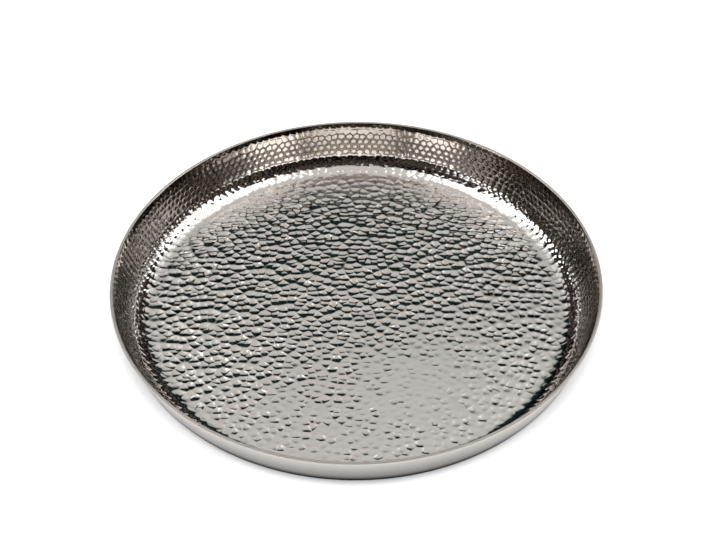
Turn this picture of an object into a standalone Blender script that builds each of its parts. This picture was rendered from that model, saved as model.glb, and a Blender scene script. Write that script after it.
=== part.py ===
# Round double-skin serving tray.
# A hammered liner is rolled over a rim wire and hooks the top edge of a smooth
# outer shell. The liner's floor lies on the shell's floor, and rubber feet lift
# the shell off the table. Metres, +Z up, origin on the table under the centre.

import math

import bmesh
import bpy

# Driving dimensions
RIM_DIAMETER = 0.380          # overall, outside of the rolled lip
TRAY_DEPTH = 0.037            # liner floor to the top of the lip
WALL_FLARE = math.radians(19.0)   # liner wall at its foot, leaning out from the vertical
LIP_FLARE = math.radians(5.3)     # the wall bows out by this much more up to the lip
SKIN_SPREAD = math.radians(2.5)   # the shell wall stands this much steeper than the liner's foot
LINER_SHEET = 0.0007
SHELL_SHEET = 0.0008
FLOOR_CORNER_RADIUS = 0.019   # inside the liner, between floor and wall
CORNER_OFFSET = 0.0041        # the shell's corner starts this much farther out than the liner's
WIRE_DIAMETER = 0.0010
FOOT_DIAMETER = 0.012
FOOT_HEIGHT = 0.0015
FOOT_EDGE_RADIUS = 0.0005
FOOT_INSET = 0.018            # foot centre, in from the edge of the flat base
FOOT_COUNT = 4

# Clearances between pieces that touch on the real tray
RIM_CLEARANCE = 0.00015       # around the wire and the shell's hooked edge
SEAT_CLEARANCE = 0.0003       # liner floor on shell floor, and shell on feet

# Facets
RING_SEGMENTS = 96
FOOT_SEGMENTS = 32
CORNER_STEPS = 7
WALL_STEPS = 5
LIP_STEPS = 3                 # in each of the lip's three stretches
WIRE_STEPS = 8
FOOT_EDGE_STEPS = 3
POLE_MERGE = 0.00001

# Levels from the table up, and the ring that the rim wire follows
SHELL_BASE = FOOT_HEIGHT + SEAT_CLEARANCE
SHELL_FLOOR = SHELL_BASE + SHELL_SHEET
LINER_BASE = SHELL_FLOOR + SEAT_CLEARANCE
LINER_FLOOR = LINER_BASE + LINER_SHEET
LIP_BORE = WIRE_DIAMETER / 2 + RIM_CLEARANCE
LIP_RADIUS = LIP_BORE + LINER_SHEET
WIRE_RING = RIM_DIAMETER / 2 - LIP_RADIUS
WIRE_LEVEL = LINER_FLOOR + TRAY_DEPTH - LIP_RADIUS
HEAD_FLARE = WALL_FLARE + LIP_FLARE
SHELL_FLARE = WALL_FLARE - SKIN_SPREAD
SHELL_EDGE = WIRE_LEVEL - LIP_BORE


def arc(centre, radius, start, end, steps):
    """Points (r, z) on an arc about centre, from angle start to angle end."""
    points = []
    for i in range(steps + 1):
        angle = start + (end - start) * i / steps
        points.append((centre[0] + radius * math.cos(angle), centre[1] + radius * math.sin(angle)))
    return points


def wall_bow():
    """Centre and radius of the arc that the liner wall's inner face follows from the corner to the lip."""
    foot = LINER_FLOOR + FLOOR_CORNER_RADIUS * (1 - math.sin(WALL_FLARE))
    head = WIRE_LEVEL + LIP_RADIUS * math.sin(HEAD_FLARE)
    radius = (head - foot) / (math.sin(HEAD_FLARE) - math.sin(WALL_FLARE))
    return (WIRE_RING + (radius - LIP_RADIUS) * math.cos(HEAD_FLARE), head - radius * math.sin(HEAD_FLARE)), radius


def liner_corner_centre():
    """Centre of the liner's floor-to-wall corner, tangent to the floor and to the foot of the wall."""
    centre, radius = wall_bow()
    return (centre[0] - (radius + FLOOR_CORNER_RADIUS) * math.cos(WALL_FLARE), LINER_FLOOR + FLOOR_CORNER_RADIUS)


def liner_back_radius(level):
    """Radius of the liner wall's outer face at a level."""
    centre, radius = wall_bow()
    return centre[0] - math.sqrt((radius - LINER_SHEET) ** 2 - (level - centre[1]) ** 2)


def shell_edge_radii():
    """Inner and outer radius of the shell's top edge, tucked between the liner wall and the lip."""
    inner = liner_back_radius(SHELL_EDGE) + RIM_CLEARANCE / math.cos(HEAD_FLARE)
    return inner, inner + SHELL_SHEET / math.cos(SHELL_FLARE)


def shell_corner():
    """Centre and outer radius of the shell's corner, tangent to the base and to the shell's straight wall."""
    ring = liner_corner_centre()[0] + CORNER_OFFSET
    reach = (shell_edge_radii()[1] - ring) * math.cos(SHELL_FLARE)
    lean = math.sin(SHELL_FLARE)
    radius = (reach - lean * (SHELL_EDGE - SHELL_BASE)) / (1 - lean)
    return (ring, SHELL_BASE + radius), radius


def metal(name, colour, roughness):
    material = bpy.data.materials.new(name)
    material.use_nodes = True
    shader = material.node_tree.nodes["Principled BSDF"]
    shader.inputs["Base Color"].default_value = (*colour, 1.0)
    shader.inputs["Metallic"].default_value = 1.0
    shader.inputs["Roughness"].default_value = roughness
    return material


def rubber(name, colour, roughness):
    material = metal(name, colour, roughness)
    material.node_tree.nodes["Principled BSDF"].inputs["Metallic"].default_value = 0.0
    return material


def turned(name, profile, segments, material, closed=False):
    """An object turned about Z from a profile of (r, z) points that runs down its outer side."""
    shape = bmesh.new()
    points = [shape.verts.new((r, 0.0, z)) for r, z in profile]
    pairs = list(zip(points, points[1:]))
    if closed:
        pairs.append((points[-1], points[0]))
    for first, second in pairs:
        shape.edges.new((first, second))
    mesh = bpy.data.meshes.new(name)
    shape.to_mesh(mesh)
    shape.free()
    piece = bpy.data.objects.new(name, mesh)
    bpy.context.scene.collection.objects.link(piece)
    mesh.materials.append(material)
    screw = piece.modifiers.new("Turn", "SCREW")
    screw.axis = "Z"
    screw.angle = math.tau
    screw.steps = segments
    screw.render_steps = segments
    screw.use_merge_vertices = True
    screw.merge_threshold = POLE_MERGE
    screw.use_smooth_shade = True
    return piece


def lip_roll(radius):
    """The lip at one of its two faces: up from the wall, over the wire, and down to the shell's wall."""
    wire = (WIRE_RING, WIRE_LEVEL)
    shell_side = shell_edge_radii()[1] + RIM_CLEARANCE - WIRE_RING
    lip_end = -math.acos(shell_side / LIP_BORE)
    roll = arc(wire, radius, math.pi - HEAD_FLARE, math.pi / 2, LIP_STEPS)
    roll += arc(wire, radius, math.pi / 2, 0.0, LIP_STEPS)[1:]
    return roll + arc(wire, radius, 0.0, lip_end, LIP_STEPS)[1:]


def hammered_liner():
    """The food side: floor, corner and bowed wall in one sheet, with its edge rolled round the wire."""
    corner = liner_corner_centre()
    bow, bow_radius = wall_bow()
    foot, head = math.pi - WALL_FLARE, math.pi - HEAD_FLARE
    profile = [(0.0, LINER_FLOOR)]
    profile += arc(corner, FLOOR_CORNER_RADIUS, -math.pi / 2, -WALL_FLARE, CORNER_STEPS)
    profile += arc(bow, bow_radius, foot, head, WALL_STEPS)[1:-1]
    profile += lip_roll(LIP_RADIUS)
    profile += reversed(lip_roll(LIP_BORE))
    profile += arc(bow, bow_radius - LINER_SHEET, head, foot, WALL_STEPS)[1:-1]
    profile += arc(corner, FLOOR_CORNER_RADIUS + LINER_SHEET, -WALL_FLARE, -math.pi / 2, CORNER_STEPS)
    profile.append((0.0, LINER_BASE))
    return turned("hammered_liner", profile, RING_SEGMENTS, metal("polished_nickel", (0.76, 0.74, 0.72), 0.12))


def outer_shell():
    """The table side: a smooth pan whose plain top edge is caught under the lip."""
    corner, radius = shell_corner()
    inner_edge, outer_edge = shell_edge_radii()
    profile = [(0.0, SHELL_FLOOR)]
    profile += arc(corner, radius - SHELL_SHEET, -math.pi / 2, -SHELL_FLARE, CORNER_STEPS)
    profile += [(inner_edge, SHELL_EDGE), (outer_edge, SHELL_EDGE)]
    profile += arc(corner, radius, -SHELL_FLARE, -math.pi / 2, CORNER_STEPS)
    profile.append((0.0, SHELL_BASE))
    return turned("outer_shell", profile, RING_SEGMENTS, metal("satin_nickel", (0.70, 0.68, 0.66), 0.35))


def rim_wire():
    """The round wire that the liner's edge is rolled over, to stiffen the rim."""
    turn = arc((WIRE_RING, WIRE_LEVEL), WIRE_DIAMETER / 2, math.pi / 2, -3 * math.pi / 2, WIRE_STEPS)
    return turned("rim_wire", turn[:-1], RING_SEGMENTS, metal("steel_wire", (0.42, 0.41, 0.40), 0.45), closed=True)


def base_feet():
    """Low rubber feet stuck under the flat part of the shell's base."""
    material = rubber("black_rubber", (0.03, 0.03, 0.03), 0.7)
    foot_radius = FOOT_DIAMETER / 2
    edge = (foot_radius - FOOT_EDGE_RADIUS, FOOT_EDGE_RADIUS)
    profile = [(0.0, FOOT_HEIGHT), (foot_radius, FOOT_HEIGHT)]
    profile += arc(edge, FOOT_EDGE_RADIUS, 0.0, -math.pi / 2, FOOT_EDGE_STEPS)
    profile.append((0.0, 0.0))
    ring = shell_corner()[0][0] - FOOT_INSET
    feet = []
    for i in range(FOOT_COUNT):
        angle = math.tau * (i + 0.5) / FOOT_COUNT
        foot = turned(f"base_foot_{i + 1}", profile, FOOT_SEGMENTS, material)
        foot.location = (ring * math.cos(angle), ring * math.sin(angle), 0.0)
        feet.append(foot)
    return feet


def main():
    for old in list(bpy.data.objects):
        bpy.data.objects.remove(old, do_unlink=True)
    tray = bpy.data.objects.new("serving_tray", None)
    bpy.context.scene.collection.objects.link(tray)
    for piece in [hammered_liner(), outer_shell(), rim_wire(), *base_feet()]:
        piece.parent = tray


main()
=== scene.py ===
import math

import bmesh
import bpy
import numpy as np
from mathutils import Matrix, Vector
from mathutils.kdtree import KDTree


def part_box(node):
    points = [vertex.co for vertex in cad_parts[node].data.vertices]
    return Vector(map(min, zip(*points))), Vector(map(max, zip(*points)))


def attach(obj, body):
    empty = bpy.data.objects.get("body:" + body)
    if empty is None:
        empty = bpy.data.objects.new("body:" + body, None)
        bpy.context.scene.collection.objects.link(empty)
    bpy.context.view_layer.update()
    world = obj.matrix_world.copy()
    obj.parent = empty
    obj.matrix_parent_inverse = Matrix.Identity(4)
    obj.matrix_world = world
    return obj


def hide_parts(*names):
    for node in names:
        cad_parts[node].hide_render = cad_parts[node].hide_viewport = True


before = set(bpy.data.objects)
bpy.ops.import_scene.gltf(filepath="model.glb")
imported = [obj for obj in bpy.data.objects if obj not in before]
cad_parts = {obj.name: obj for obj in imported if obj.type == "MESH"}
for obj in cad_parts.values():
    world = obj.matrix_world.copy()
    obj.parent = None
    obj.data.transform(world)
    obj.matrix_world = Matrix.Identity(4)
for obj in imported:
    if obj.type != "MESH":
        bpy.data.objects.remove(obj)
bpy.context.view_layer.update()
print("frame loaded:", ", ".join(sorted(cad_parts)))

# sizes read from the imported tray
linerLow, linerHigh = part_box("hammered_liner")
shellLow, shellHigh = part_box("outer_shell")
wireLow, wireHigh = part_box("rim_wire")
rimRadius, rimTop = linerHigh.x, linerHigh.z
wireRadius = (wireHigh.z - wireLow.z) / 2
wireRing = wireHigh.x - wireRadius
wireLevel = (wireHigh.z + wireLow.z) / 2
lipRadius = rimRadius - wireRing


def addObject(name, data):
    thing = bpy.data.objects.new(name, data)
    bpy.context.scene.collection.objects.link(thing)
    return thing


def addNode(tree, kind, **values):
    made = tree.nodes.new(kind)
    for key, value in values.items():
        setattr(made, key, value)
    return made


def feed(tree, socket, value):
    # a socket takes a colour, a number or another node's output
    if isinstance(value, tuple):
        socket.default_value = (*value, 1)
    elif isinstance(value, (int, float)):
        socket.default_value = value
    elif value is not None:
        tree.links.new(value, socket)


def mathNode(tree, operation, one, two=None):
    made = addNode(tree, "ShaderNodeMath", operation=operation)
    feed(tree, made.inputs[0], one)
    feed(tree, made.inputs[1], two)
    return made.outputs[0]


def mixNode(tree, share, one, two, **values):
    made = addNode(tree, "ShaderNodeMix", data_type="RGBA", **values)
    feed(tree, made.inputs["Factor"], share)
    feed(tree, made.inputs[6], one)
    feed(tree, made.inputs[7], two)
    return made.outputs[2]


def rangeNode(tree, value, start, end=(0, 1), **values):
    made = addNode(tree, "ShaderNodeMapRange", **values)
    feed(tree, made.inputs["Value"], value)
    made.inputs["From Min"].default_value, made.inputs["From Max"].default_value = start
    made.inputs["To Min"].default_value, made.inputs["To Max"].default_value = end
    return made.outputs[0]


def noiseNode(tree, place, scale, detail, curl=0):
    made = addNode(tree, "ShaderNodeTexNoise")
    made.inputs["Scale"].default_value = scale
    made.inputs["Detail"].default_value = detail
    made.inputs["Distortion"].default_value = curl
    feed(tree, made.inputs["Vector"], place)
    return made.outputs["Fac"]


def rampNode(tree, value, stops):
    made = addNode(tree, "ShaderNodeValToRGB")
    elements = made.color_ramp.elements
    while len(elements) < len(stops):
        elements.new(1.0)
    for element, (place, colour) in zip(elements, stops):
        element.position = place
        element.color = (*colour, 1)
    feed(tree, made.inputs[0], value)
    return made.outputs[0]


def bumpNode(tree, height, strength, depth):
    made = addNode(tree, "ShaderNodeBump")
    made.inputs["Strength"].default_value = strength
    made.inputs["Distance"].default_value = depth
    feed(tree, made.inputs["Height"], height)
    return made.outputs[0]


def newMaterial(name):
    material = bpy.data.materials.new(name)
    material.use_nodes = True
    return material, material.node_tree, material.node_tree.nodes["Principled BSDF"]


def arcPoints(centre, radius, start, end, steps):
    turns = [start + (end - start) * i / steps for i in range(steps + 1)]
    return [(centre[0] + radius * math.cos(t), centre[1] + radius * math.sin(t)) for t in turns]


def smooth(share):
    return share * share * (3 - 2 * share)


# liner: the hammered dish
liner = {
    "sheet": 0.0007,
    "footFlare": math.radians(19.0),  # of the wall from the vertical, at its foot
    "headFlare": math.radians(24.3),  # and under the lip
    "cornerRadius": 0.019,
    "lipEnd": math.radians(-76.0),
    "lipSteps": 7,
    "backSteps": 3,
}
hammering = {
    # land is the share of flat land about a dent, edgeStep the longest edge along a ridge
    "floor": {
        "ringPitch": 0.0057, "blowPitch": 0.0076, "reach": 0.0042,
        "wander": 0.38, "land": 1.0, "edgeStep": 0.0037,
    },
    "wall": {
        "ringPitch": 0.0045, "blowPitch": 0.0059, "reach": 0.0027,
        "wander": 0.15, "land": 0.0, "edgeStep": 0.0040,
    },
    # edge slope of the dents, by distance past the start of the corner: the floor's last ring is smoother
    "slopes": ((-0.007, 0.25), (-0.002, 0.10), (0.008, 0.10), (0.018, 0.090), (0.026, 0.042)),
    # on the wall the blows slant, so that each face leans out a little more than the wall
    "slants": ((0.016, 0), (0.026, 0.068), (0.048, 0.025)),
    "slopeSpread": 0.28,
    "reachSpread": 0.16,
    "lightSlope": 0.66,               # share of the floor's slope where it was struck more lightly
    "lightSpread": 0.55,
    "lightReach": 0.80,
    "lightFrom": (0.50, -0.87),       # towards this side
    "lightStart": 0.02,
    "lightEnd": 0.30,                 # in rim radii
    "spot": (0.30, -0.42),            # middle of a part that was hardly struck, in rim radii
    "spotSize": 0.42,
    "spotSlope": 0.35,
    "sideSlope": 3.2,                 # the wall was struck harder at the sides
    "hammerFace": 1.28,               # width by length of a floor dent
    "pitSteepest": 1.955,             # slope of a floor dent's curve where it is steepest
    "roundness": 2.2,                 # of the wall's bowls: 2 is a round bottom, more is flatter
    "inside": (0.45, 0.80),           # rings of points inside a dent, as shares of its cell
    "cellReach": 2.4,                 # how far off a neighbour can bound a cell, in blow pitches
    "lipFade": 0.0016,
    "swell": 0.00035,                 # how far the wall stands proud under the lip
    "swellDepth": 0.005,
    "rimSides": 240,
    "rimChecks": 8,                   # sides of the rim that are tried to each side of a blow
    "rimTolerance": 0.0001,
    "seed": 11,
}


def linerProfile():
    # the dish's inner face: floor, corner, and a wall that flares more towards the lip
    floorLevel = linerLow.z + liner["sheet"]
    foot, head, corner = liner["footFlare"], liner["headFlare"], liner["cornerRadius"]
    level = floorLevel + corner
    rise = wireLevel + lipRadius * math.sin(head) - (level - corner * math.sin(foot))
    bow = rise / (math.sin(head) - math.sin(foot))
    headRing = wireRing - lipRadius * math.cos(head)
    footRing = headRing - bow * (math.cos(foot) - math.cos(head))
    cornerRing = footRing - corner * math.cos(foot)
    cornerEnd = cornerRing + corner * (math.pi / 2 - foot)
    return {
        "floorLevel": floorLevel,
        "cornerRing": cornerRing,
        "cornerLevel": level,
        "cornerEnd": cornerEnd,
        "bow": bow,
        "bowRing": footRing + bow * math.cos(foot),
        "bowLevel": level - (corner + bow) * math.sin(foot),
        "wallEnd": cornerEnd + bow * (head - foot),
    }


def pointOnLiner(shape, along):
    # radius, level and inward normal at a distance along the face from the centre
    radius, level = along.copy(), np.full_like(along, shape["floorLevel"])
    normalOut, normalUp = np.zeros_like(along), np.ones_like(along)
    corner = (along > shape["cornerRing"]) & (along <= shape["cornerEnd"])
    angle = (along[corner] - shape["cornerRing"]) / liner["cornerRadius"]
    radius[corner] = shape["cornerRing"] + liner["cornerRadius"] * np.sin(angle)
    level[corner] = shape["cornerLevel"] - liner["cornerRadius"] * np.cos(angle)
    normalOut[corner], normalUp[corner] = -np.sin(angle), np.cos(angle)
    wall = along > shape["cornerEnd"]
    flare = liner["footFlare"] + (along[wall] - shape["cornerEnd"]) / shape["bow"]
    radius[wall] = shape["bowRing"] - shape["bow"] * np.cos(flare)
    level[wall] = shape["bowLevel"] + shape["bow"] * np.sin(flare)
    normalOut[wall], normalUp[wall] = -np.cos(flare), np.sin(flare)
    return radius, level, normalOut, normalUp


def hammerLook(shape, along):
    # the blows' sizes at a distance along the face: floor sizes give way to wall sizes round the corner
    past = along - shape["cornerRing"]
    share = min(max(past / (shape["cornerEnd"] - shape["cornerRing"]), 0), 1)
    floor, wall = hammering["floor"], hammering["wall"]
    look = {key: value + share * (wall[key] - value) for key, value in floor.items()}
    look["slope"] = float(np.interp(past, *zip(*hammering["slopes"])))
    look["slant"] = float(np.interp(past, *zip(*hammering["slants"])))
    return look, share


def hammerBlows(shape):
    # rings of blows on the dish laid out flat, from the centre out
    random = np.random.default_rng(hammering["seed"])
    lightRange = hammering["lightEnd"] - hammering["lightStart"]
    lightGain = hammering["lightSpread"] - hammering["slopeSpread"]
    borders = [0]
    while borders[-1] < shape["wallEnd"]:
        borders.append(borders[-1] + hammerLook(shape, borders[-1])[0]["ringPitch"])
    borders = np.array(borders) * shape["wallEnd"] / borders[-1]
    blows = []
    for low, high in zip(borders, borders[1:]):
        middle, pitch = (low + high) / 2, high - low
        look, wallShare = hammerLook(shape, middle)
        ringRadius = pointOnLiner(shape, np.array([middle]))[0][0]
        count = max(3, round(math.tau * ringRadius / look["blowPitch"]))
        start = random.uniform(0, math.tau)
        for i in range(count):
            along = middle + pitch * look["wander"] * random.uniform(-1, 1)
            angle = start + (i + look["wander"] * random.uniform(-1, 1)) * math.tau / count
            place = Vector((along * math.cos(angle), along * math.sin(angle)))
            towards = place.dot(Vector(hammering["lightFrom"])) / rimRadius
            light = min(max((towards - hammering["lightStart"]) / lightRange, 0), 1) * (1 - wallShare)
            slope = look["slope"] * (1 + (hammering["lightSlope"] - 1) * light)
            slope *= 1 + (hammering["slopeSpread"] + light * lightGain) * random.uniform(-1, 1)
            toSpot = (place / rimRadius - Vector(hammering["spot"])).length
            spot = smooth(1 - min(toSpot / hammering["spotSize"], 1))
            slope *= 1 + (hammering["spotSlope"] - 1) * spot
            slope *= 1 + (hammering["sideSlope"] - 1) * wallShare * (place.x / place.length) ** 2
            reach = look["reach"] * (1 + hammering["reachSpread"] * look["land"] * random.uniform(-1, 1))
            reach *= 1 + (hammering["lightReach"] - 1) * light
            blows.append({
                "place": place,
                "out": place.normalized(),
                "slope": slope,
                "slant": look["slant"],
                "reach": reach,
                "land": look["land"],
                "step": look["edgeStep"],
            })
    return blows


def clipCell(cell, point, normal, number):
    # the part of a cell behind a line; a cell is corners, each with the number of the side that follows
    kept = []
    for (one, side), (two, _) in zip(cell, cell[1:] + cell[:1]):
        a, b = (one - point).dot(normal), (two - point).dot(normal)
        if a <= 0:
            kept.append((one, side))
        if a <= 0 < b:
            kept.append((one.lerp(two, a / (a - b)), number))
        elif b <= 0 < a:
            kept.append((one.lerp(two, a / (a - b)), side))
    return kept


def hammeredCells(shape, blows):
    # each blow's share of the flat dish, bounded by its neighbours and by the rim
    tree = KDTree(len(blows))
    for i, blow in enumerate(blows):
        tree.insert((*blow["place"], 0), i)
    tree.balance()
    reach = hammering["cellReach"] * hammering["floor"]["blowPitch"]
    square = ((-reach, -reach), (reach, -reach), (reach, reach), (-reach, reach))
    sides, checks = hammering["rimSides"], hammering["rimChecks"]
    cells = []
    for i, blow in enumerate(blows):
        here = blow["place"]
        cell = [(here + Vector(corner), None) for corner in square]
        for other, j, _ in tree.find_range((*here, 0), reach):
            if j != i:
                there = other.to_2d()
                cell = clipCell(cell, (here + there) / 2, (there - here).normalized(), j)
        if here.length > shape["wallEnd"] - reach:
            nearest = math.floor(math.atan2(here.y, here.x) / math.tau * sides)
            for k in range(nearest - checks, nearest + checks + 1):
                turn = (k + 0.5) * math.tau / sides
                out = Vector((math.cos(turn), math.sin(turn)))
                border = out * shape["wallEnd"] * math.cos(math.pi / sides)
                cell = clipCell(cell, border, out, -1 - k % sides)
        cells.append(cell)
    return cells


def dentDepth(blow, place):
    # on the floor a dent with flat land about it, on the wall a bowl that meets its neighbours
    offset = (place - blow["place"]) / blow["reach"]
    bowl = (1 - offset.length ** hammering["roundness"]) / hammering["roundness"]
    oval = math.hypot(offset.x / hammering["hammerFace"], offset.y)
    pit = max(0, 1 - oval ** 3) ** 2 / hammering["pitSteepest"]
    struck = blow["slope"] * (bowl + blow["land"] * (pit - bowl))
    return (struck + blow["slant"] * offset.dot(blow["out"])) * blow["reach"]


def buildLiner():
    shape = linerProfile()
    blows = hammerBlows(shape)
    flat, dents, shares, known, edgeCounts, faces = [], [], [], {}, {}, []

    def addPoint(key, place, dent):
        # a point on a ridge belongs to every cell beside it and takes the mean of their depths
        number = known.get(key)
        if number is None:
            number = len(flat)
            known[key] = number
            flat.append(place)
            dents.append(0)
            shares.append(0)
        dents[number] += dent
        shares[number] += 1
        return number

    for i, cell in enumerate(hammeredCells(shape, blows)):
        blow = blows[i]
        edge = []
        for n, (corner, side) in enumerate(cell):
            after, _ = cell[(n + 1) % len(cell)]
            edge.append((tuple(sorted((i, side, cell[n - 1][1]))), corner))
            pair = (min(i, side), max(i, side))
            parts = edgeCounts.setdefault(pair, 1 + int((after - corner).length / blow["step"]))
            for m in range(1, parts):
                share = m if i == pair[0] else parts - m
                edge.append(((pair, share), corner.lerp(after, m / parts)))
        loop = [addPoint(key, place, dentDepth(blow, place)) for key, place in edge]
        for share in reversed(hammering["inside"]):
            inner = []
            for m, (_, place) in enumerate(edge):
                spot = blow["place"].lerp(place, share)
                inner.append(addPoint((i, share, m), spot, dentDepth(blow, spot)))
            faces += zip(loop, loop[1:] + loop[:1], inner[1:] + inner[:1], inner)
            loop = inner
        centre = addPoint((i, "centre"), blow["place"], dentDepth(blow, blow["place"]))
        faces += [(one, two, centre) for one, two in zip(loop, loop[1:] + loop[:1])]

    flat = np.array([tuple(place) for place in flat])
    along, angle = np.hypot(flat[:, 0], flat[:, 1]), np.arctan2(flat[:, 1], flat[:, 0])
    atRim = along > shape["wallEnd"] - hammering["rimTolerance"]
    along[atRim] = shape["wallEnd"]
    fade = np.clip((shape["wallEnd"] - along) / hammering["lipFade"], 0, 1)
    dent = np.array(dents) / np.array(shares) * smooth(fade)
    # the wall swells up to the lip, and turns out above
    swellStart = shape["wallEnd"] - hammering["swellDepth"]
    below = np.clip((shape["wallEnd"] - along) / hammering["swellDepth"], 0, 1)
    above = np.clip((along - shape["cornerEnd"]) / (swellStart - shape["cornerEnd"]), 0, 1)
    dent -= hammering["swell"] * (1 - (1 - below) ** 2) * smooth(above)
    radius, level, normalOut, normalUp = pointOnLiner(shape, along)
    radius, level = radius - normalOut * dent, level - normalUp * dent
    places = [np.c_[radius * np.cos(angle), radius * np.sin(angle), level]]

    # lip, then back down the wall's outside and under the floor, on the rim's own points
    rim = np.flatnonzero(atRim)
    rim = rim[np.argsort(angle[rim])]
    turn, across = angle[rim], len(rim)
    wireMiddle, lipStart = (wireRing, wireLevel), math.pi - liner["headFlare"]
    bore = lipRadius - liner["sheet"]
    corner, backRadius = (shape["cornerRing"], shape["cornerLevel"]), liner["cornerRadius"] + liner["sheet"]
    back = arcPoints(wireMiddle, lipRadius, lipStart, liner["lipEnd"], liner["lipSteps"])[1:]
    back += arcPoints(wireMiddle, bore, liner["lipEnd"], lipStart, liner["lipSteps"])
    back += arcPoints(corner, backRadius, -liner["footFlare"], -math.pi / 2, liner["backSteps"])
    before = rim
    for row, (r, z) in enumerate(back):
        now = len(flat) + row * across + np.arange(across)
        places.append(np.c_[r * np.cos(turn), r * np.sin(turn), np.full(across, z)])
        faces += np.c_[before, now, np.roll(now, -1), np.roll(before, -1)].tolist()
        before = now
    faces.append(before[::-1].tolist())
    mesh = bpy.data.meshes.new("hammeredLiner")
    mesh.from_pydata(np.concatenate(places).tolist(), [], faces)
    mesh.shade_smooth()
    depth = np.zeros(len(mesh.vertices), np.float32)
    depth[:len(flat)] = dent
    mesh.attributes.new("dentDepth", "FLOAT", "POINT").data.foreach_set("value", depth)
    wornLipOrUnshaded = np.zeros(len(mesh.vertices), np.float32)
    wornLipOrUnshaded[len(flat):len(flat) + liner["lipSteps"] * across] = 1
    mesh.attributes.new("rubbedLip", "FLOAT", "POINT").data.foreach_set("value", wornLipOrUnshaded)
    triangles = sum(len(face) - 2 for face in faces)
    print("hammered liner:", len(blows), "blows,", triangles, "triangles,", across, "round the rim")
    return addObject("hammeredLiner", mesh)


polish = {
    "colour": (0.80, 0.775, 0.755),
    "tarnish": (0.70, 0.655, 0.61),       # warmer, where the cloth doesn't reach
    "tarnishShare": 0.55,
    "tarnishDepths": (0.00005, 0.00045),  # of a dent, where tarnish starts and where it is full
    "wallShadeColour": (0.45, 0.417, 0.386),   # painted shade: the wall is coloured darker than the floor, for the darker room it reflects
    "wallLevels": (0.007, 0.019),
    "roughness": (0.035, 0.085),
    "lipColour": (0.60, 0.57, 0.54),      # the lip is dulled by hands
    "lipRoughness": 0.55,
    "cloudScale": 55,                     # soft clouds left by the buffing wheel
    "cloudDetail": 5,
    "cloudRange": (0.3, 0.7),
    "scratchScale": 900,
    "scratchDetail": 3,
    "scratchCurl": 2.5,
    "scratchBump": 0.02,
    "scratchDepth": 0.0002,
}


def polishedNickel():
    material, tree, shader = newMaterial("polishedNickel")
    shader.inputs["Metallic"].default_value = 1.0
    place = addNode(tree, "ShaderNodeTexCoord").outputs["Object"]
    parts = addNode(tree, "ShaderNodeSeparateXYZ")
    feed(tree, parts.inputs[0], place)
    depth = addNode(tree, "ShaderNodeAttribute", attribute_name="dentDepth").outputs["Fac"]
    wornLipOrUnshaded = addNode(tree, "ShaderNodeAttribute", attribute_name="rubbedLip").outputs["Fac"]
    clouds = noiseNode(tree, place, polish["cloudScale"], polish["cloudDetail"])
    # deep dents and cloudy spots keep a trace of tarnish
    hollow = rangeNode(tree, depth, polish["tarnishDepths"])
    trace = mathNode(tree, "MULTIPLY", mathNode(tree, "MULTIPLY", hollow, clouds), polish["tarnishShare"])
    colour = mixNode(tree, trace, polish["colour"], polish["tarnish"])
    # painted shade: the wall takes a darker colour than the floor, standing in for the darker room it
    # reflects
    raised = rangeNode(tree, parts.outputs["Z"], polish["wallLevels"])
    colour = mixNode(tree, raised, colour, polish["wallShadeColour"])
    colour = mixNode(tree, wornLipOrUnshaded, colour, polish["lipColour"])
    feed(tree, shader.inputs["Base Color"], colour)
    rough = rangeNode(tree, clouds, polish["cloudRange"], polish["roughness"])
    dull = mathNode(tree, "MULTIPLY", wornLipOrUnshaded, polish["lipRoughness"])
    feed(tree, shader.inputs["Roughness"], mathNode(tree, "ADD", rough, dull))
    hairlines = noiseNode(tree, place, polish["scratchScale"], polish["scratchDetail"], polish["scratchCurl"])
    bump = bumpNode(tree, hairlines, polish["scratchBump"], polish["scratchDepth"])
    feed(tree, shader.inputs["Normal"], bump)
    return material


# shell: the smooth outside
shell = {
    "sheet": 0.0008,
    "flare": math.radians(16.5),
    "cornerOffset": 0.0041,               # its corner starts this far outside the liner's
    "segments": 360,
    "cornerSteps": 24,
}
sharpEdge = math.radians(40)              # turned pieces are smooth up to this angle


def turnedPiece(name, profile, segments):
    # a mesh turned about Z from points (r, z) that run down the outer side
    turn = math.tau * np.arange(segments) / segments
    places, rows, faces = [], [], []
    for r, z in profile:
        first = len(places)
        if r == 0:
            places.append((0, 0, z))
            rows.append([first] * segments)
        else:
            places += [(r * math.cos(a), r * math.sin(a), z) for a in turn]
            rows.append(list(range(first, first + segments)))
    for upper, lower in zip(rows, rows[1:]):
        for i in range(segments):
            j = (i + 1) % segments
            faces.append(list(dict.fromkeys((lower[i], lower[j], upper[j], upper[i]))))
    mesh = bpy.data.meshes.new(name)
    mesh.from_pydata(places, [], faces)
    mesh.shade_smooth()
    mesh.set_sharp_from_angle(angle=sharpEdge)
    return addObject(name, mesh)


def buildShell():
    ring = linerProfile()["cornerRing"] + shell["cornerOffset"]
    lean = math.sin(shell["flare"])
    reach = (shellHigh.x - ring) * math.cos(shell["flare"])
    radius = (reach - lean * (shellHigh.z - shellLow.z)) / (1 - lean)
    centre = (ring, shellLow.z + radius)
    inner = radius - shell["sheet"]
    innerEdge = shellHigh.x - shell["sheet"] / math.cos(shell["flare"])
    profile = [(0, shellLow.z + shell["sheet"])]
    profile += arcPoints(centre, inner, -math.pi / 2, -shell["flare"], shell["cornerSteps"])
    profile += [(innerEdge, shellHigh.z), (shellHigh.x, shellHigh.z)]
    profile += arcPoints(centre, radius, -shell["flare"], -math.pi / 2, shell["cornerSteps"])
    profile += [(0, shellLow.z)]
    print("outer shell: corner radius", round(radius * 1000, 2), "mm")
    return turnedPiece("outerShell", profile, shell["segments"])


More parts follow.
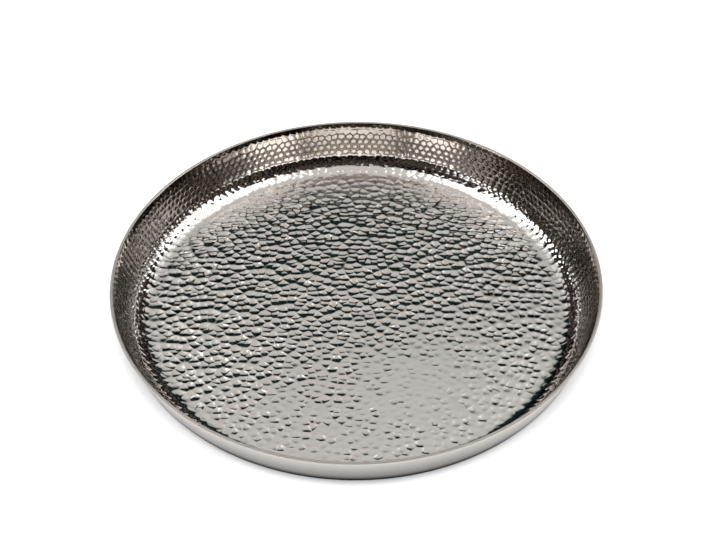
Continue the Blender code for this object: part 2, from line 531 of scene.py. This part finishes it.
satin = {
    "colour": (0.53, 0.500, 0.470),
    "lineColour": (0.37, 0.35, 0.33),
    "roughness": (0.20, 0.36),
    "lineWidth": 0.00022,
    "lineLength": 0.045,
    "bump": 0.10,
    "smudgeScale": 14,
    "baseShadeColour": (0.030, 0.027, 0.025),  # painted shade near the base: the darkness of the contact shadow it reflects, put in its colour
    "baseLevels": (0.0115, 0.038),
    "edgeShadeTint": (0.05, 0.047, 0.043),     # painted shade: dims the base's gloss where it is seen at a slant
    "edgeLevels": (0.0105, 0.018),
    "baseRadii": (0.164, 0.156),          # the flat underside is left out of the painted shade
}
drawnWire = {
    "colour": (0.46, 0.45, 0.44),
    "lineColour": (0.30, 0.29, 0.28),
    "roughness": (0.35, 0.55),
    "lineWidth": 0.00012,
    "lineLength": 0.020,
    "bump": 0.15,
    "smudgeScale": 60,
}
brushing = {
    "slant": (0.96, 0.94),                # how far a step up and a step out lead across the lines
    "lineDetail": 4,
    "smudgeDetail": 6,
    "sheenRange": (0.35, 0.65),
    "bumpDepth": 0.0002,
}


def brushedMetal(name, look):
    # fine lines round the tray's axis: the noise runs on with radius and level, and hardly with the angle
    material, tree, shader = newMaterial(name)
    shader.inputs["Metallic"].default_value = 1.0
    place = addNode(tree, "ShaderNodeTexCoord").outputs["Object"]
    parts = addNode(tree, "ShaderNodeSeparateXYZ")
    feed(tree, parts.inputs[0], place)
    flat = addNode(tree, "ShaderNodeCombineXYZ")
    streak = addNode(tree, "ShaderNodeCombineXYZ")
    for axis in ("X", "Y"):
        feed(tree, flat.inputs[axis], parts.outputs[axis])
        feed(tree, streak.inputs[axis], mathNode(tree, "DIVIDE", parts.outputs[axis], look["lineLength"]))
    length = addNode(tree, "ShaderNodeVectorMath", operation="LENGTH")
    feed(tree, length.inputs[0], flat.outputs[0])
    radius = length.outputs["Value"]
    up = mathNode(tree, "MULTIPLY", parts.outputs["Z"], brushing["slant"][0])
    out = mathNode(tree, "MULTIPLY", radius, brushing["slant"][1])
    across = mathNode(tree, "SUBTRACT", up, out)
    feed(tree, streak.inputs["Z"], mathNode(tree, "DIVIDE", across, look["lineWidth"]))
    lines = noiseNode(tree, streak.outputs[0], 1.0, brushing["lineDetail"])
    smudges = noiseNode(tree, place, look["smudgeScale"], brushing["smudgeDetail"])
    share = mathNode(tree, "MULTIPLY", lines, smudges)
    colour = mixNode(tree, share, look["colour"], look["lineColour"])
    if "baseShadeColour" in look:
        # painted shade: the shell darkens towards its base and its slanting gloss is dimmed there, in place
        # of the contact shadow it would reflect; the flat underside is spared
        under = rangeNode(tree, radius, look["baseRadii"])
        wornLipOrUnshaded = rangeNode(tree, parts.outputs["Z"], look["baseLevels"])
        raised = rangeNode(tree, parts.outputs["Z"], look["edgeLevels"])
        colour = mixNode(tree, mathNode(tree, "MAXIMUM", wornLipOrUnshaded, under), look["baseShadeColour"], colour)
        edge = mixNode(tree, mathNode(tree, "MAXIMUM", raised, under), look["edgeShadeTint"], (1, 1, 1))
        feed(tree, shader.inputs["Specular Tint"], edge)
    feed(tree, shader.inputs["Base Color"], colour)
    mean = mathNode(tree, "MULTIPLY", mathNode(tree, "ADD", lines, smudges), 0.5)
    rough = rangeNode(tree, mean, brushing["sheenRange"], look["roughness"])
    feed(tree, shader.inputs["Roughness"], rough)
    feed(tree, shader.inputs["Normal"], bumpNode(tree, lines, look["bump"], brushing["bumpDepth"]))
    return material


# feet: moulded pads with a grip ring and a dimple underneath
foot = {
    "edge": 0.0005,
    "edgeSteps": 6,
    "bevel": 0.00015,
    "ring": (0.0041, 0.0033, 0.00028),    # outer and inner radius, and depth, of the groove
    "dimple": (0.0013, 0.00022),          # radius and depth
    "dimpleSide": (0.55, 0.8),            # a point on its side, as shares of the two
    "segments": 96,
}


def buildFoot(name):
    low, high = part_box(name)
    radius, height = (high.x - low.x) / 2, high.z - low.z
    edge, bevel = foot["edge"], foot["bevel"]
    outer, inner, depth = foot["ring"]
    dimple, hollow = foot["dimple"]
    profile = [(0, height), (radius - bevel, height), (radius, height - bevel)]
    profile += arcPoints((radius - edge, edge), edge, 0, -math.pi / 2, foot["edgeSteps"])
    profile += [(outer, 0), (outer - depth / 2, depth), (inner + depth / 2, depth), (inner, 0)]
    profile += [(dimple, 0), (dimple * foot["dimpleSide"][0], hollow * foot["dimpleSide"][1]), (0, hollow)]
    piece = turnedPiece("foot" + name[-1], profile, foot["segments"])
    piece.location = ((low.x + high.x) / 2, (low.y + high.y) / 2, low.z)
    return piece


rubber = {
    "colour": (0.018, 0.018, 0.019),
    "dustColour": (0.075, 0.07, 0.065),
    "dustScale": 420,
    "dustDetail": 8,
    "dustRange": (0.52, 0.75),
    "roughness": (0.62, 0.85),
    "grainScale": 2600,
    "grainDetail": 2,
    "bump": 0.25,
    "bumpDepth": 0.0001,
}


def blackRubber():
    material, tree, shader = newMaterial("blackRubber")
    place = addNode(tree, "ShaderNodeTexCoord").outputs["Object"]
    grain = noiseNode(tree, place, rubber["grainScale"], rubber["grainDetail"])
    dust = noiseNode(tree, place, rubber["dustScale"], rubber["dustDetail"])
    spots = rangeNode(tree, dust, rubber["dustRange"])
    colour = mixNode(tree, spots, rubber["colour"], rubber["dustColour"])
    feed(tree, shader.inputs["Base Color"], colour)
    feed(tree, shader.inputs["Roughness"], rangeNode(tree, grain, (0, 1), rubber["roughness"]))
    feed(tree, shader.inputs["Normal"], bumpNode(tree, grain, rubber["bump"], rubber["bumpDepth"]))
    return material


# camera: matched to the rim's ellipse in the photograph
camera = {
    "elevation": math.radians(43.63),
    "distance": 6.5,                      # in rim radii, from the middle of the rim
    "focalPixels": 1595.1,
    "imageWidth": 716,
    "imageHeight": 540,
    "rimPixel": (356.08, 273.49),         # where the middle of the rim falls
    "roll": math.radians(-0.6),
    "sensor": 36,                         # in mm
    "clipEnd": 100,
}


def placeCamera():
    data = bpy.data.cameras.new("photoCamera")
    data.sensor_width = camera["sensor"]
    data.lens = camera["sensor"] * camera["focalPixels"] / camera["imageWidth"]
    data.clip_end = camera["clipEnd"]
    thing = addObject("photoCamera", data)
    reach = camera["distance"] * rimRadius
    rise = camera["elevation"]
    thing.location = (0, -reach * math.cos(rise), rimTop + reach * math.sin(rise))
    pan = (camera["imageWidth"] / 2 - camera["rimPixel"][0]) / camera["focalPixels"]
    tilt = (camera["rimPixel"][1] - camera["imageHeight"] / 2) / camera["focalPixels"]
    aim = Matrix.Rotation(math.pi / 2 - rise, 3, "X")
    aim = aim @ Matrix.Rotation(-pan, 3, "Y") @ Matrix.Rotation(tilt, 3, "X")
    thing.rotation_euler = (aim @ Matrix.Rotation(camera["roll"], 3, "Z")).to_euler()
    bpy.context.scene.camera = thing
    print("camera: lens", round(data.lens, 2), "mm at", round(reach, 3), "m")


# studio: a pale floor, two wide, soft lamps, and a light tent that only the metal's gloss sees
studio = {
    "floorSize": 16.0,
    "floorDrop": 0.00005,                 # clear of the feet's undersides
    "floorColour": (0.86, 0.86, 0.86),
    "floorRoughness": 0.9,
    "tentRadius": 3.0,
    "tentSegments": (96, 48),
    # height of the tent's lower edge: degrees round from the far side, degrees up
    "tentEdge": (
        (0, 40), (15, 40), (22, 37), (36, 29),
        (40, 31), (46, 62), (110, 66), (150, 68),
    ),
    # its light: degrees above the edge, colour
    "tentGlow": (
        (-1, (0, 0, 0)),
        (0.7, (0.11, 0.12, 0.11)),
        (2, (0.26, 0.275, 0.26)),
        (3.5, (0.40, 0.415, 0.395)),
        (5.5, (0.525, 0.53, 0.51)),
        (8, (0.58, 0.562, 0.542)),
        (20, (0.67, 0.642, 0.617)),
    ),
    "glowSpan": (-10, 20),
    # light of the room, which is lighter in some places: degrees round from the far side, colour
    "room": (
        (0, (0.005, 0.010, 0.011)),
        (40, (0.006, 0.008, 0.008)),
        (80, (0.050, 0.040, 0.033)),
        (180, (0.026, 0.021, 0.018)),
    ),
    "roomScale": 5,
    "roomDetail": 2,
    "roomSpots": (0.42, 0.72),
    "roomRange": (0.05, 4.0),
    "roomMean": 1.6,
    # soft boxes and dim panels, by degrees round from the far side and degrees up; a later one covers
    # an earlier one; uneven is the share of its glow that follows the room's lighter places;
    # side is 1 for the right, -1 for the left and 0 for both
    "boxes": (
        {"glow": (0.92, 0.85, 0.78), "turn": (112, 190), "rise": (-20, 13), "uneven": 0.3, "side": 1},
        {"glow": (0.42, 0.385, 0.35), "turn": (112, 190), "rise": (-20, 13), "uneven": 0.3, "side": -1},
        {"glow": (1.62, 1.54, 1.45), "turn": (160, 190), "rise": (-20, 19), "uneven": 0.2, "side": 0},
        {"glow": (2.70, 2.58, 2.44), "turn": (132, 153), "rise": (-20, 14), "uneven": 0.2, "side": 1},
        {"glow": (2.40, 2.30, 2.18), "turn": (132, 153), "rise": (-20, 11), "uneven": 0.2, "side": -1},
        {"glow": (0.85, 0.82, 0.78), "turn": (-5, 22), "rise": (-5, 10), "uneven": 0, "side": 0},
        {"glow": (0.060, 0.050, 0.045), "turn": (10, 62), "rise": (-20, 30), "uneven": 0.95, "side": 1},
        {"glow": (0.060, 0.052, 0.047), "turn": (13, 62), "rise": (-20, 22), "uneven": 0.95, "side": -1},
        {"glow": (0.045, 0.036, 0.032), "turn": (19, 46), "rise": (18, 40), "uneven": 0.95, "side": 0},
        {"glow": (1.8, 1.8, 1.8), "turn": (40, 52), "rise": (5, 11), "uneven": 0.6, "side": 0},
        {"glow": (2.2, 2.2, 2.2), "turn": (108, 128), "rise": (22, 38), "uneven": 0.9, "side": -1},
        {"glow": (0.85, 0.83, 0.80), "turn": (56, 84), "rise": (12, 36), "uneven": 0.95, "side": 1},
        {"glow": (2.2, 2.2, 2.2), "turn": (60, 100), "rise": (30, 57), "uneven": 0.7, "side": 0},
        {"glow": (0.82, 0.81, 0.79), "turn": (12, 44), "rise": (47, 68), "uneven": 0.2, "side": 0},
        {"glow": (1.15, 1.12, 1.09), "turn": (20, 44), "rise": (55, 67), "uneven": 0.2, "side": 0},
        {"glow": (2.2, 2.2, 2.2), "turn": (42, 96), "rise": (49, 67), "uneven": 0.3, "side": 0},
        {"glow": (1.9, 1.88, 1.85), "turn": (26, 122), "rise": (62, 77), "uneven": 0.3, "side": 0},
    ),
    "boxSoft": 2.5,                       # of a box's borders, in degrees
    "sideSoft": 0.1,
    "roomLight": 0.42,                    # of the white room, which the camera sees brighter
    "fills": (("overheadFill", 0.45, (0, 0, 2.5)), ("frontFill", 4.4, (0, -1.6, 2.2))),
    "fillSpread": math.radians(48),
}


def stepAt(tree, value, limit, soft):
    # none below a limit and one above it, or the other way round where soft is negative
    return rangeNode(tree, value, (limit - soft, limit + soft), interpolation_type="SMOOTHSTEP")


def within(tree, value, limits, soft):
    # one between two limits, none outside them
    low, high = limits
    return mathNode(tree, "MULTIPLY", stepAt(tree, value, low, soft), stepAt(tree, value, high, -soft))


def tentCloth():
    # the tent's light by direction from its middle: dim below its edge, then the boxes over it
    material, tree, _ = newMaterial("tentCloth")
    tree.nodes.clear()
    way = addNode(tree, "ShaderNodeVectorMath", operation="NORMALIZE")
    feed(tree, way.inputs[0], addNode(tree, "ShaderNodeTexCoord").outputs["Object"])
    parts = addNode(tree, "ShaderNodeSeparateXYZ")
    feed(tree, parts.inputs[0], way.outputs[0])
    rise = mathNode(tree, "DEGREES", mathNode(tree, "ARCSINE", parts.outputs["Z"]))
    heading = mathNode(tree, "ARCTAN2", parts.outputs["X"], parts.outputs["Y"])
    # 0 on the far side, 180 in front
    turn = mathNode(tree, "DEGREES", mathNode(tree, "ABSOLUTE", heading))
    turnShare = mathNode(tree, "DIVIDE", turn, 180)
    edge = rampNode(tree, turnShare, [(at / 180, [up / 90] * 3) for at, up in studio["tentEdge"]])
    above = mathNode(tree, "SUBTRACT", rise, mathNode(tree, "MULTIPLY", edge, 90))
    low, high = studio["glowSpan"]
    aboveShare = mathNode(tree, "DIVIDE", mathNode(tree, "SUBTRACT", above, low), high - low)
    stops = [((at - low) / (high - low), colour) for at, colour in studio["tentGlow"]]
    glow = rampNode(tree, aboveShare, stops)
    room = rampNode(tree, turnShare, [(at / 180, colour) for at, colour in studio["room"]])
    places = noiseNode(tree, way.outputs[0], studio["roomScale"], studio["roomDetail"])
    patchy = rangeNode(tree, places, studio["roomSpots"], studio["roomRange"])
    dim = addNode(tree, "ShaderNodeVectorMath", operation="SCALE")
    feed(tree, dim.inputs[0], room)
    feed(tree, dim.inputs["Scale"], patchy)
    shade = mixNode(tree, 1, glow, dim.outputs[0], blend_type="ADD")
    for box in studio["boxes"]:
        inTurn = within(tree, turn, box["turn"], studio["boxSoft"])
        inRise = within(tree, rise, box["rise"], studio["boxSoft"])
        share = mathNode(tree, "MULTIPLY", inTurn, inRise)
        if box["side"]:
            sideways = mathNode(tree, "MULTIPLY", parts.outputs["X"], box["side"])
            share = mathNode(tree, "MULTIPLY", share, stepAt(tree, sideways, 0, studio["sideSoft"]))
        varied = mathNode(tree, "MULTIPLY", patchy, box["uneven"] / studio["roomMean"])
        lit = addNode(tree, "ShaderNodeVectorMath", operation="SCALE")
        lit.inputs[0].default_value = box["glow"]
        feed(tree, lit.inputs["Scale"], mathNode(tree, "ADD", varied, 1 - box["uneven"]))
        shade = mixNode(tree, share, shade, lit.outputs[0])
    light = addNode(tree, "ShaderNodeEmission")
    feed(tree, light.inputs["Color"], shade)
    feed(tree, addNode(tree, "ShaderNodeOutputMaterial").inputs["Surface"], light.outputs[0])
    material.cycles.emission_sampling = "NONE"
    return material


def buildStudio():
    half = studio["floorSize"] / 2
    corners = [(-half, -half, 0), (half, -half, 0), (half, half, 0), (-half, half, 0)]
    mesh = bpy.data.meshes.new("paleFloor")
    mesh.from_pydata(corners, [], [(0, 1, 2, 3)])
    floor = addObject("paleFloor", mesh)
    floor.location.z = -studio["floorDrop"]
    material, _, shader = newMaterial("paleFloor")
    shader.inputs["Base Color"].default_value = (*studio["floorColour"], 1)
    shader.inputs["Roughness"].default_value = studio["floorRoughness"]
    mesh.materials.append(material)

    around, upwards = studio["tentSegments"]
    dome = bmesh.new()
    bmesh.ops.create_uvsphere(dome, u_segments=around, v_segments=upwards, radius=studio["tentRadius"])
    mesh = bpy.data.meshes.new("lightTent")
    dome.to_mesh(mesh)
    dome.free()
    mesh.materials.append(tentCloth())
    tent = addObject("lightTent", mesh)
    tent.visible_camera = tent.visible_diffuse = tent.visible_shadow = tent.visible_transmission = False

    world = bpy.data.worlds.new("whiteRoom")
    bpy.context.scene.world = world
    world.use_nodes = True
    tree = world.node_tree
    tree.nodes.clear()
    far = addNode(tree, "ShaderNodeBackground")
    near = addNode(tree, "ShaderNodeBackground")
    near.inputs["Strength"].default_value = studio["roomLight"]
    far.inputs["Color"].default_value = near.inputs["Color"].default_value = (1, 1, 1, 1)
    mix = addNode(tree, "ShaderNodeMixShader")
    feed(tree, mix.inputs[0], addNode(tree, "ShaderNodeLightPath").outputs["Is Camera Ray"])
    feed(tree, mix.inputs[1], near.outputs[0])
    feed(tree, mix.inputs[2], far.outputs[0])
    feed(tree, addNode(tree, "ShaderNodeOutputWorld").inputs["Surface"], mix.outputs[0])

    for name, power, place in studio["fills"]:
        lamp = bpy.data.lights.new(name, "SUN")
        lamp.angle = studio["fillSpread"]
        lamp.energy = power
        thing = addObject(name, lamp)
        thing.location = place
        thing.rotation_euler = Vector(place).to_track_quat("Z", "Y").to_euler()
        thing.visible_glossy = False
    view = bpy.context.scene.view_settings
    view.view_transform = "Standard"
    view.look = "None"
    print("studio ready")


placeCamera()
buildStudio()

dish = buildLiner()
dish.data.materials.append(polishedNickel())
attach(dish, "root")
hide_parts("hammered_liner")

outside = buildShell()
outside.data.materials.append(brushedMetal("satinNickel", satin))
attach(outside, "root")
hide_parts("outer_shell")

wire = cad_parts["rim_wire"]
wire.data.materials.clear()
wire.data.materials.append(brushedMetal("drawnWire", drawnWire))

padRubber = blackRubber()
for name in ("base_foot_1", "base_foot_2", "base_foot_3", "base_foot_4"):
    pad = buildFoot(name)
    pad.data.materials.append(padRubber)
    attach(pad, "root")
    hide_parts(name)
print("feet placed")
